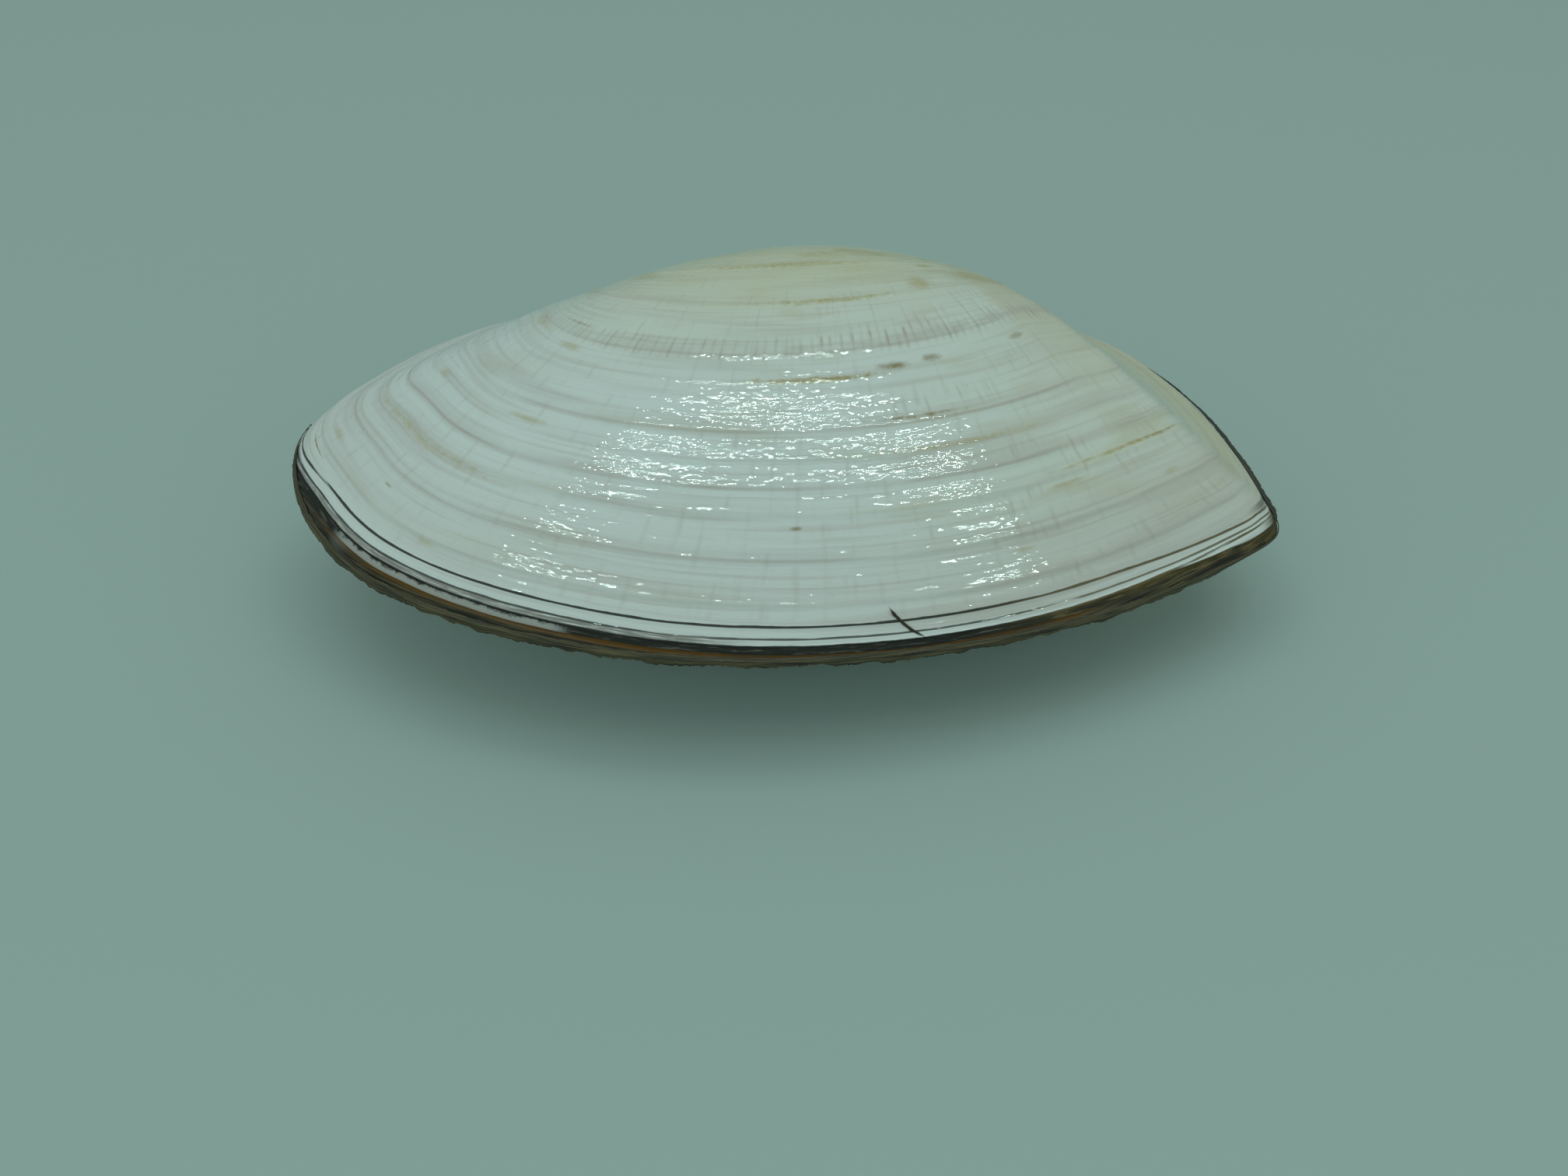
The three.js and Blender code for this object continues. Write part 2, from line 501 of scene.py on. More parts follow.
@dataclass
class GrowthRule:
    """How a valve grows: each stage is its margin, drawn smaller and swung up about the hinge line."""

    recipe: Recipe
    form: ShellForm

    def along_margin(self, share: Value, output: str) -> Value:
        """The margin's Position or Tangent at a share of the way round.

        Args:
            share: a share of the way round the margin.
            output: Position or Tangent.

        Returns:
            The chosen vector.
        """
        graph = self.recipe.graph
        margin = graph.call("GeometryNodeObjectInfo", {"Object": self.recipe["Margin"]}, "Geometry")
        inputs = {"Curves": margin, "Factor": share}
        return graph.call("GeometryNodeSampleCurve", inputs, output, mode="FACTOR")

    def edge(self, share: Value) -> Value:
        """The margin's point at a share of the way round."""
        return self.along_margin(share, "Position")

    def tangent(self, share: Value) -> tuple[Value, Value]:
        """The margin's direction at a share of the way round, along u and v."""
        u, v, _ = self.recipe.graph.parts(self.along_margin(share, "Tangent"))
        return u, v

    def reach(self, edge: Value) -> Value:
        """How far a ray of growth swings out, by the place of its margin point."""
        u, v, _ = self.recipe.graph.parts(edge)
        return self.recipe.graph.most(v * -1.0, 0.0) * (u * (self.form.hind_swell / self.form.length) + 1.0)

    def outside(self, edge: Value, growth: Value) -> tuple[Value, Value, Value]:
        """A point of the valve's smooth outside.

        Args:
            edge: the margin point of its ray.
            growth: its stage, 1 at the margin and 0 at the umbo.

        Returns:
            Its place along u, v and w.
        """
        graph, form = self.recipe.graph, self.form
        u, v, _ = graph.parts(edge)
        swing = (1.0 - growth) ** form.swing_power * form.umbo_swing
        ray = graph.call("ShaderNodeVectorMath", {0: edge}, "Value", operation="LENGTH")
        bevel = graph.least(graph.math("DIVIDE", form.lip_reach, ray), form.lip_reach_limit)
        full = 1.0 - graph.exp(graph.math("DIVIDE", -1.0, bevel))
        lip = (1.0 - graph.exp((growth - 1.0) / bevel)) / full * form.lip_height
        height = self.recipe["Swell"] * self.reach(edge) * growth * graph.math("SINE", swing)
        return u * growth, v * growth * graph.math("COSINE", swing), height + lip + form.valve_gap / 2

    def facing(self, place: tuple[Value, Value, Value]) -> Value:
        """The place on this recipe's side of the plane where the valves meet."""
        return self.recipe.graph.vector(place[0], place[1], place[2] * self.recipe["Side"])

    def lay(self, mesh: Value) -> Value:
        """The mesh turned and moved to where the shell lies, worn flat where it meets the ground.

        Args:
            mesh: the mesh.

        Returns:
            The laid mesh.
        """
        graph = self.recipe.graph
        inputs = {"Geometry": mesh, "Translation": self.recipe["Place"], "Rotation": self.recipe["Turn"]}
        laid = graph.call("GeometryNodeTransform", inputs)
        x, y, z = graph.parts(self.recipe.position())
        return self.recipe.place(laid, graph.vector(x, y, graph.most(z, 0.0)))


@dataclass(frozen=True)
class Wander:
    """How a valve's growth lines stray from the outline that it has when full-grown."""

    wave_height: float = 0.005
    wave_rate: float = 16.5
    wave_start: float = 0.455
    wave_stages: Span = (0.6, 0.9)
    bow: float = 0.178
    bow_middle: float = 0.49
    bow_half: float = 0.16
    bow_limit: float = 1.6
    bow_stages: Span = (0.3, 0.58)
    front_shift: float = 0.03
    front_start: Span = (0.1, 0.2)
    front_end: Span = (0.315, 0.25)
    front_stages: Span = (0.6, 0.8)
    drift: float = 0.003
    drift_rate: float = 120.0
    drift_stage_rate: float = 6.0
    tip_pull: float = 0.03
    tip_start: Span = (0.726, 0.75)
    tip_end: Span = (0.83, 0.76)
    tip_stages: Span = (0.6, 0.85)
    tip_rim: Span = (1.0, 0.985)
    last_stage: float = 0.9995

    def aged(self, graph: Graph, share: Value, growth: Value, edge: Value) -> Value:
        """The growth line that passes through a point.

        Args:
            graph: the graph to write in.
            share: the point's share of the way round.
            growth: its place between umbo and margin.
            edge: the margin point of its ray.

        Returns:
            The line's stage, less than 1.
        """
        wave = graph.math("SINE", (share - self.wave_start) * self.wave_rate) * self.wave_height
        wave = wave * graph.ease(growth, *self.wave_stages)
        spread = graph.least(((share - self.bow_middle) / self.bow_half) ** 2.0, self.bow_limit)
        sag = (1.0 - growth) ** 2.0 * spread * graph.ease(growth, *self.bow_stages) * self.bow
        front = graph.ease(share, *self.front_end) * graph.ease(share, *self.front_start)
        front = front * graph.ease(growth, *self.front_stages)
        u, v, _ = graph.parts(edge)
        place = graph.vector(u * self.drift_rate, v * self.drift_rate, growth * self.drift_stage_rate)
        stray = graph.noise(place) - 0.5
        tip = graph.ease(share, *self.tip_start) * graph.ease(share, *self.tip_end) * self.tip_pull
        tip = tip * graph.ease(growth, *self.tip_stages) * graph.ease(growth, *self.tip_rim)
        line = growth - wave + sag - front * self.front_shift - tip + stray * self.drift
        return graph.most(graph.least(line, self.last_stage), 0.0)


@dataclass(kw_only=True)
class Piece:
    """A piece of the shell that a recipe makes; its node is the solid that it takes the place of."""

    name: str
    form: ShellForm
    slot: str = "valve_shell"
    node: str | None = None

    def sizes(self, *names: str) -> dict[str, object]:
        """Recipe settings from the piece's own fields, by the fields' names."""
        return {name.capitalize().replace("_", " "): getattr(self, name) for name in names}

    def settings(self, margin: bpy.types.Object) -> dict[str, object]:
        """The recipe settings that every piece has: the margin's curve, and how the shell lies."""
        lie = self.form.lie()
        return {"Margin": margin, "Place": lie.to_translation(), "Turn": lie.to_euler("XYZ")}

    def shape(self, recipe: Recipe, rule: GrowthRule) -> Value:
        """The piece's mesh, in the shell's own axes."""
        raise NotImplementedError

    def build(self, margin: bpy.types.Object, finish: "Finish") -> bpy.types.Object:
        """Makes the piece and puts it on the shell's body.

        Args:
            margin: the margin's curve.
            finish: the piece's finish.

        Returns:
            The finished piece.
        """
        recipe = Recipe(self.name, self.settings(margin) | {"Material": finish.material()})
        rule = GrowthRule(recipe, self.form)
        recipe.finish(rule.lay(self.shape(recipe, rule)))
        piece = recipe.run(self.name)
        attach(piece, BODY)
        if self.node:
            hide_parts(self.node)
        return piece


@dataclass(kw_only=True)
class ValvePiece(Piece):
    """A piece that belongs to one valve."""

    side: Side

    def settings(self, margin: bpy.types.Object) -> dict[str, object]:
        """The recipe settings that every piece of a valve has."""
        return super().settings(margin) | {"Side": self.side.value, "Swell": self.form.swell(self.side)}


@dataclass(kw_only=True)
class Valve(ValvePiece):
    """One valve of the shell, a thin cup with growth ledges outside."""

    wander: Wander = Wander()
    columns: int = 360
    rows: int = 216
    hollow_rows: int = 10
    row_crowding: float = 0.45
    ledge_reach: float = 0.024
    ledge_step: float = 0.005
    ledge_fade: float = 10 * MM
    ledge_patch_rate: float = 60.0
    ledge_patch_step: float = 50.0
    ripple_height: float = 0.10 * MM
    ripple_rate: float = 30.0
    ripple_count: float = 42.0
    last_line_height: float = 0.03 * MM
    last_line_count: float = 130.0
    last_line_stages: Span = (0.94, 0.97)
    groove: float = 0.9885
    groove_half: float = 0.0005
    groove_soft: float = 0.0025
    groove_depth: float = 0.06 * MM
    rim_stages: Span = (0.9998, 0.992)

    def settings(self, margin: bpy.types.Object) -> dict[str, object]:
        """The valve's recipe settings."""
        return super().settings(margin) | self.sizes("columns", "rows", "hollow_rows")

    def relief(self, recipe: Recipe, rule: GrowthRule) -> Value:
        """How far the growth ledges and ripples stand out of the smooth outside.

        Args:
            recipe: the recipe to write in.
            rule: the growth rule to follow.

        Returns:
            The height at each point.
        """
        graph = recipe.graph
        edge = recipe.stored("edge", "FLOAT_VECTOR")
        growth, stage = recipe.stored("aged", "FLOAT"), recipe.stored("stage", "FLOAT")
        u, v, _ = graph.parts(edge)
        height: Number = 0.0
        patch_u, patch_v = u * self.ledge_patch_rate, v * self.ledge_patch_rate
        for line in self.form.lines:
            older = graph.ease(growth, line.stage + self.ledge_step, line.stage)
            patch = graph.noise(graph.vector(patch_u, patch_v, line.stage * self.ledge_patch_step)) + 0.5
            height = older * graph.exp((growth - line.stage) / self.ledge_reach) * patch * line.ledge + height
        place = graph.vector(u * self.ripple_rate, v * self.ripple_rate, growth * self.ripple_count)
        ripple = (graph.noise(place, detail=3.0) - 0.5) * self.ripple_height
        wave = graph.math("SINE", growth * (2 * math.pi * self.last_line_count))
        last_lines = wave * graph.ease(growth, *self.last_line_stages) * self.last_line_height
        groove = graph.line(growth, self.groove, self.groove_half, self.groove_soft) * self.groove_depth
        fade = graph.least(rule.reach(edge) / self.ledge_fade, 1.0) * graph.ease(stage, *self.rim_stages)
        return (height + ripple + last_lines - groove) * fade

    def outside(self, recipe: Recipe, rule: GrowthRule) -> Value:
        """The outside of the valve, with its relief.

        Args:
            recipe: the recipe to write in.
            rule: the growth rule to follow.

        Returns:
            Its mesh.
        """
        graph = recipe.graph
        mesh, share, up = recipe.grid(recipe["Columns"], recipe["Rows"])
        growth = 1.0 - up * (up * (1.0 - self.row_crowding) + self.row_crowding)
        edge = rule.edge(share)
        aged = self.wander.aged(graph, share, growth, edge)
        mesh = recipe.store(mesh, GROWTH_MAP, graph.vector(share, aged, 0.0), "FLOAT2", "CORNER")
        mesh = recipe.store(mesh, "edge", edge, "FLOAT_VECTOR")
        mesh = recipe.store(mesh, "aged", aged, "FLOAT")
        mesh = recipe.store(mesh, "stage", growth, "FLOAT")
        mesh = recipe.weld(recipe.place(mesh, rule.facing(rule.outside(edge, growth))))
        return recipe.swell(mesh, self.relief(recipe, rule) * recipe["Side"])

    def hollow(self, recipe: Recipe, rule: GrowthRule) -> Value:
        """The inside of the valve; its first row is the margin itself.

        Args:
            recipe: the recipe to write in.
            rule: the growth rule to follow.

        Returns:
            Its mesh.
        """
        graph = recipe.graph
        mesh, share, up = recipe.grid(recipe["Columns"], recipe["Hollow rows"])
        inner = graph.most(up * (1.0 + 1.0 / self.hollow_rows) - 1.0 / self.hollow_rows, 0.0)
        mesh = recipe.store(mesh, GROWTH_MAP, graph.vector(share, inner + 1.0, 0.0), "FLOAT2", "CORNER")
        place = rule.outside(rule.edge(share), 1.0 - inner)
        centre = (*self.form.hollow_centre, self.form.valve_gap / 2)
        rim = graph.ease(up, 0.0, 0.5 / self.hollow_rows)
        drawn = []
        for part, middle, scale in zip(place, centre, self.form.hollow_scale):
            drawn.append(part + (part - middle) * (rim * (scale - 1.0)))
        return recipe.place(mesh, rule.facing(tuple(drawn)))

    def shape(self, recipe: Recipe, rule: GrowthRule) -> Value:
        """The outside and the inside as one closed mesh."""
        return recipe.weld(recipe.join(self.outside(recipe, rule), self.hollow(recipe, rule)))


@dataclass(frozen=True)
class Fray:
    """Noise along the margin: its swells to a whole turn, a layer of its own, its detail and roughness."""

    rate: float
    layer: float
    detail: float
    roughness: float

    def at(self, recipe: Recipe, share: Value) -> Value:
        """The noise at a share of the way round, by the recipe's seed."""
        place = recipe.graph.vector(share * self.rate, recipe["Seed"], self.layer)
        return recipe.graph.noise(place, detail=self.detail, roughness=self.roughness)


@dataclass(kw_only=True)
class MarginSkin(ValvePiece):
    """A strip of horny skin along a valve's margin, ragged on both edges."""

    start: float
    end: float
    cover: float
    reach: float
    lean: float
    seed: float
    columns: int = 1000
    rows: int = 12
    fold: float = 0.6
    lift: float = 0.04 * MM
    thickness: float = 0.06 * MM
    head: float = 0.06
    tail: float = 0.06
    least_cover: float = 0.1
    shreds: Fray = Fray(130.0, 0.0, 5.0, 0.65)
    flakes: Fray = Fray(60.0, 5.0, 4.0, 0.5)
    flake_limits: Span = (0.35, 0.65)
    crumbs: Fray = Fray(260.0, 6.0, 4.0, 0.6)
    flaps: float = 34.0
    flap_stray: float = 5.0
    flares: Fray = Fray(420.0, 9.0, 4.0, 0.7)
    flare_limits: Span = (0.45, 0.75)
    flare_height: float = 0.12 * MM
    flare_soft: float = 0.4
    curl_rate: float = 900.0
    curl_height: float = 0.06 * MM

    def settings(self, margin: bpy.types.Object) -> dict[str, object]:
        """The strip's recipe settings."""
        names = ("columns", "rows", "start", "end", "cover", "reach", "lean", "seed", "lift", "thickness")
        return super().settings(margin) | self.sizes(*names)

    def overhang(self, recipe: Recipe, share: Value) -> Value:
        """How far the strip stands past the margin, before it tapers to its ends.

        Args:
            recipe: the recipe to write in.
            share: a share of the way round the margin.

        Returns:
            The length at each point.
        """
        graph = recipe.graph
        flakes = self.flakes.at(recipe, share)
        flap = graph.math("FRACT", share * self.flaps + flakes * self.flap_stray + recipe["Seed"])
        ragged = flap * 0.25 + graph.ease(flakes, *self.flake_limits) * 0.5
        return recipe["Reach"] * (ragged + self.crumbs.at(recipe, share) * 0.4 + 0.1)

    def shape(self, recipe: Recipe, rule: GrowthRule) -> Value:
        """The strip, folded over the margin, with its thickness.

        Args:
            recipe: the recipe to write in.
            rule: the growth rule to follow.

        Returns:
            Its mesh, in the shell's own axes.
        """
        graph = recipe.graph
        mesh, across, up = recipe.grid(recipe["Columns"], recipe["Rows"])
        share = across * (recipe["End"] - recipe["Start"]) + recipe["Start"]
        taper = graph.ease(across, 0.0, self.head) * graph.ease(across, 1.0, 1.0 - self.tail)
        cover = recipe["Cover"] * (self.shreds.at(recipe, share) * 1.6 + 0.2)
        cover = cover * (taper * (1.0 - self.least_cover) + self.least_cover)
        growth = 1.0 - cover * (1.0 - graph.least(up / self.fold, 1.0))
        overhang = self.overhang(recipe, share) * taper
        off = graph.most((up - self.fold) / (1.0 - self.fold), 0.0) * overhang
        u, v, w = rule.outside(rule.edge(share), growth)
        tangent_u, tangent_v = rule.tangent(share)
        flare = graph.ease(self.flares.at(recipe, share), *self.flare_limits)
        flare = flare * graph.line(up, self.fold - 0.1, 0.0, self.flare_soft) * self.flare_height * taper
        out = off * (1.0 - recipe["Lean"]) + flare
        place = (u + tangent_v * out, v - tangent_u * out, w - off * recipe["Lean"])
        mesh = recipe.store(mesh, GROWTH_MAP, graph.vector(share, up, 0.0), "FLOAT2", "CORNER")
        mesh = recipe.place(mesh, rule.facing(place))
        curl = graph.noise(recipe.position(), self.curl_rate) * self.curl_height
        mesh = recipe.swell(mesh, (recipe["Lift"] + curl) * recipe["Side"] * -1.0)
        depth = recipe["Thickness"] * recipe["Side"] * -1.0
        inputs = {"Mesh": mesh, "Offset Scale": depth, "Individual": False}
        raised = graph.call("GeometryNodeExtrudeMesh", inputs, mode="FACES")
        back = graph.call("GeometryNodeFlipFaces", {"Mesh": mesh})
        return recipe.weld(recipe.join(raised, back))


@dataclass(kw_only=True)
class Shred(ValvePiece):
    """A loose sliver of skin that lies on a valve."""

    path: tuple[tuple[float, float, float], ...]
    width: float
    least_radius: float = 0.01 * MM
    stations: int = 48
    sides: int = 8
    knot_rate: float = 9.0
    root_taper: Span = (0.0, 0.2)
    tip_taper: Span = (1.0, 0.7)

    def path_curve(self) -> bpy.types.Object:
        """The sliver's middle line: share round the margin, growth and height at each point.

        Returns:
            The curve's object, in the scene.
        """
        data = bpy.data.curves.new(self.name + "_path", "CURVE")
        data.dimensions = "3D"
        spline = data.splines.new("POLY")
        spline.points.add(len(self.path) - 1)
        for point, place in zip(spline.points, self.path):
            point.co = (*place, 1.0)
        curve = bpy.data.objects.new(data.name, data)
        bpy.context.scene.collection.objects.link(curve)
        return curve

    def settings(self, margin: bpy.types.Object) -> dict[str, object]:
        """The sliver's recipe settings."""
        return super().settings(margin) | self.sizes("width") | {"Path": self.path_curve()}

    def shape(self, recipe: Recipe, rule: GrowthRule) -> Value:
        """A thin tube along the path, pointed at both ends.

        Args:
            recipe: the recipe to write in.
            rule: the growth rule to follow.

        Returns:
            Its mesh, in the shell's own axes.
        """
        graph = recipe.graph
        path = graph.call("GeometryNodeObjectInfo", {"Object": recipe["Path"]}, "Geometry")
        path = graph.call("GeometryNodeResampleCurve", {"Curve": path, "Count": self.stations})
        share, growth, height = graph.parts(recipe.position())
        u, v, w = rule.outside(rule.edge(share), growth)
        path = recipe.place(path, rule.facing((u, v, w + height)))
        along = graph.call("GeometryNodeSplineParameter", {}, "Factor")
        knots = graph.noise(graph.vector(along * self.knot_rate, 0.0, 0.0)) + 0.5
        taper = graph.ease(along, *self.root_taper) * graph.ease(along, *self.tip_taper)
        radius = taper * knots * recipe["Width"] + self.least_radius
        ring = graph.call("GeometryNodeCurvePrimitiveCircle", {"Resolution": self.sides, "Radius": 1.0})
        inputs = {"Curve": path, "Profile Curve": ring, "Scale": radius, "Fill Caps": True}
        return graph.call("GeometryNodeCurveToMesh", inputs)

    def build(self, margin: bpy.types.Object, finish: "Finish") -> bpy.types.Object:
        """Makes the sliver, and removes the path that it followed.

        Args:
            margin: the margin's curve.
            finish: the skin's finish.

        Returns:
            The finished sliver.
        """
        piece = super().build(margin, finish)
        bpy.data.objects.remove(bpy.data.objects[self.name + "_path"])
        return piece


@dataclass(kw_only=True)
class Ligament(Piece):
    """The horny strip behind the umbo that sits in the groove between the valves."""

    columns: int = 220
    rows: int = 64
    root: float = -0.6 * MM
    crest: float = 1.75 * MM
    half_width: float = 1.3 * MM
    end_bluntness: float = 0.6
    crest_narrowing: float = 0.25
    fibre_height: float = 0.12 * MM
    fibre_rate: float = 5.0
    crack_rate: float = 40.0
    crack_round_rate: float = 0.6
    crack_share: float = 0.35

    def settings(self, margin: bpy.types.Object) -> dict[str, object]:
        """The ligament's recipe settings; its ends are those of its solid.

        Args:
            margin: the margin's curve.

        Returns:
            A value for each named input.
        """
        settings = super().settings(margin) | self.sizes("columns", "rows", "root", "crest", "half_width")
        own_axes = self.form.lie().inverted()
        ends = [self.form.share_at((own_axes @ Vector(corner)).x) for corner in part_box(self.node)]
        return settings | {"Start": min(ends), "End": max(ends)}

    def shape(self, recipe: Recipe, rule: GrowthRule) -> Value:
        """A spindle along the hinge line, rough with fibres and cracks.

        Args:
            recipe: the recipe to write in.
            rule: the growth rule to follow.

        Returns:
            Its mesh, in the shell's own axes.
        """
        graph = recipe.graph
        mesh, along, turn = recipe.grid(recipe["Columns"], recipe["Rows"])
        share = along * (recipe["End"] - recipe["Start"]) + recipe["Start"]
        fullness = (1.0 - (along * 2.0 - 1.0) ** 2.0) ** self.end_bluntness
        angle = turn * (2 * math.pi)
        rise, spread = graph.math("COSINE", angle), graph.math("SINE", angle)
        place = graph.vector(along * self.fibre_rate, rise * self.fibre_rate, spread * self.fibre_rate)
        fibre = graph.noise(place, detail=4.0) - 0.5
        turned, tipped = rise * self.crack_round_rate, spread * self.crack_round_rate
        crack = graph.noise(graph.vector(along * self.crack_rate, turned, tipped)) - 0.5
        rough = fullness * (fibre + crack * self.crack_share) * (2 * self.fibre_height)
        middle = (recipe["Root"] + recipe["Crest"]) * 0.5
        out = middle + rise * (fullness * (recipe["Crest"] - recipe["Root"]) * 0.5 + rough)
        narrowing = 1.0 - rise * self.crest_narrowing
        across = spread * (fullness * recipe["Half width"] * narrowing + rough)
        u, v, _ = graph.parts(rule.edge(share))
        tangent_u, tangent_v = rule.tangent(share)
        mesh = recipe.store(mesh, GROWTH_MAP, graph.vector(along, turn, 0.0), "FLOAT2", "CORNER")
        mesh = recipe.place(mesh, graph.vector(u + tangent_v * out, v - tangent_u * out, across))
        return recipe.weld(mesh)


@dataclass(frozen=True)
class Grain:
    """Noise on a valve: its swells to a millimetre of margin, those from umbo to margin, and its seed.

    Its patches show where the noise passes from the first of its limits to the second.
    """

    along: float
    across: float
    seed: float
    detail: float = 2.0
    rough: float = 0.5
    limits: Span = (0.0, 1.0)


@dataclass(frozen=True)
class Chart:
    """Where a shaded point lies on a valve: its share round the margin and its growth line."""

    graph: Graph
    share: Value
    growth: Value
    margin_length: float = 218.7

    @classmethod
    def of(cls, graph: Graph) -> "Chart":
        """The chart of a material that is being written."""
        share, growth, _ = graph.parts(graph.call("ShaderNodeUVMap", {}, uv_map=GROWTH_MAP))
        return cls(graph, share, growth)

    def noise(self, grain: Grain) -> Value:
        """A grain's noise, around a half.

        Args:
            grain: the noise's sizes and seed.

        Returns:
            The noise at the shaded point.
        """
        along = self.share * (self.margin_length * grain.along)
        place = self.graph.vector(along, self.growth * grain.across, grain.seed)
        return self.graph.noise(place, detail=grain.detail, roughness=grain.rough)

    def patches(self, grain: Grain) -> Value:
        """A grain's patches: 1 where they show, 0 between them."""
        return self.graph.ease(self.noise(grain), *grain.limits)

    def onward(self, span: Span) -> Value:
        """A smooth step over a span of the way round the margin."""
        return self.graph.ease(self.share, *span)

    def aged(self, span: Span) -> Value:
        """A smooth step over a span of growth."""
        return self.graph.ease(self.growth, *span)


@dataclass(frozen=True)
class Stain:
    """A stain on a valve: its middle, its half lengths round and along the growth, and its strength."""

    share: float
    growth: float
    along: float
    across: float
    strength: float
    umber: bool = False


@dataclass(frozen=True)
class Palette:
    """The colours of the porcelain and of the skin that lies on it."""

    white: Colour = (0.83, 0.83, 0.82)
    band: Colour = (0.665, 0.61, 0.58)
    mauve: Colour = (0.53, 0.44, 0.40)
    cream: Colour = (0.72, 0.64, 0.40)
    ochre: Colour = (0.56, 0.43, 0.19)
    umber: Colour = (0.33, 0.22, 0.09)
    hairline: Colour = (0.52, 0.42, 0.35)
    black: Colour = (0.014, 0.013, 0.010)
    charcoal: Colour = (0.024, 0.023, 0.019)
    film: Colour = (0.22, 0.185, 0.165)
    lip: Colour = (0.52, 0.48, 0.45)
    olive: Colour = (0.070, 0.052, 0.020)
    straw: Colour = (0.21, 0.15, 0.065)
    amber: Colour = (0.12, 0.052, 0.007)


@dataclass(frozen=True)
class Layer:
    """A layer of colour on a valve."""

    colours: Palette

    def paint(self, chart: Chart, under: object) -> Value:
        """This layer over the colour below it, a Value or three numbers."""
        raise NotImplementedError


@dataclass(frozen=True)
class Bands(Layer):
    """Soft bands, and warmer tones where the shell is old and on its hind slope."""

    wide: Grain = Grain(0.025, 30.0, 1.0, 3.0, limits=(0.50, 0.68))
    fine: Grain = Grain(0.035, 130.0, 2.0, limits=(0.48, 0.70))
    warmth: Grain = Grain(0.06, 9.0, 3.0)
    clouds: Grain = Grain(0.05, 16.0, 4.0, 3.0, limits=(0.53, 0.7))
    straying: Grain = Grain(0.08, 14.0, 22.0, 3.0)
    stray: float = 0.06
    young_start: Span = (0.78, 0.9)
    young_end: Span = (0.985, 0.955)
    young_hind: Span = (0.5, 0.68)
    old: Span = (0.68, 0.3)
    hind: Span = (0.5, 0.73)
    hind_stages: Span = (1.05, 0.75)
    slope: Span = (0.765, 0.9)
    slope_soft: float = 0.06
    slope_stages: Span = (1.02, 0.9)
    keel: Span = (0.7, 0.775)
    keel_soft: float = 0.03
    keel_stages: Span = (0.8, 0.5)

    def paint(self, chart: Chart, under: object) -> Value:
        """The bands over the white.

        Args:
            chart: the valve's chart.
            under: the colour below, a Value or three numbers.

        Returns:
            The colour with this layer over it.
        """
        graph = chart.graph
        young = chart.aged(self.young_start) * chart.aged(self.young_end)
        young = young * (chart.onward(self.young_hind) * 0.4 + 0.25)
        bands = chart.patches(self.wide) * 0.5 + chart.patches(self.fine) * 0.5 + young
        colour = graph.paint(under, self.colours.band, bands)
        hind = chart.onward(self.hind) * chart.aged(self.hind_stages) * 0.4
        stray = chart.share + (chart.noise(self.straying) - 0.5) * self.stray
        slope = graph.span(stray, *self.slope, self.slope_soft) * chart.aged(self.slope_stages) * 0.8
        warm = graph.most(graph.most(chart.aged(self.old), hind), slope)
        warm = warm * (chart.noise(self.warmth) * 0.8 + 0.4)
        colour = graph.paint(colour, self.colours.cream, warm)
        keel = graph.span(stray, *self.keel, self.keel_soft) * chart.aged(self.keel_stages) * 0.35
        clouds = chart.patches(self.clouds) * (warm * 0.6 + 0.1)
        return graph.paint(colour, self.colours.ochre, clouds + slope * 0.08 + keel)


@dataclass(frozen=True)
class HaltLines(Layer):
    """The growth halts: a thin line, and a soft band on its older side."""

    lines: tuple[GrowthLine, ...]
    fading: Grain = Grain(0.07, 12.0, 6.0, limits=(0.3, 0.62))
    rusting: Grain = Grain(0.05, 14.0, 7.0, limits=(0.44, 0.6))
    half: float = 0.0008
    soft: float = 0.003
    band_start: float = 0.022
    band_full: float = 0.004

    def paint(self, chart: Chart, under: object) -> Value:
        """The lines over the bands.

        Args:
            chart: the valve's chart.
            under: the colour below, a Value or three numbers.

        Returns:
            The colour with this layer over it.
        """
        graph, growth, colour = chart.graph, chart.growth, under
        patch = chart.patches(self.fading) * 0.8 + 0.2
        rust = chart.patches(self.rusting)
        for line in self.lines:
            mark = graph.line(growth, line.stage, self.half, self.soft)
            band = graph.ease(growth, line.stage - self.band_start, line.stage - self.band_full)
            band = band * graph.ease(growth, line.stage + self.soft, line.stage)
            tone = graph.paint(self.colours.mauve, self.colours.ochre, rust * line.ochre)
            colour = graph.paint(colour, tone, (mark * 0.5 + band * 0.4) * patch * line.shade)
        return colour


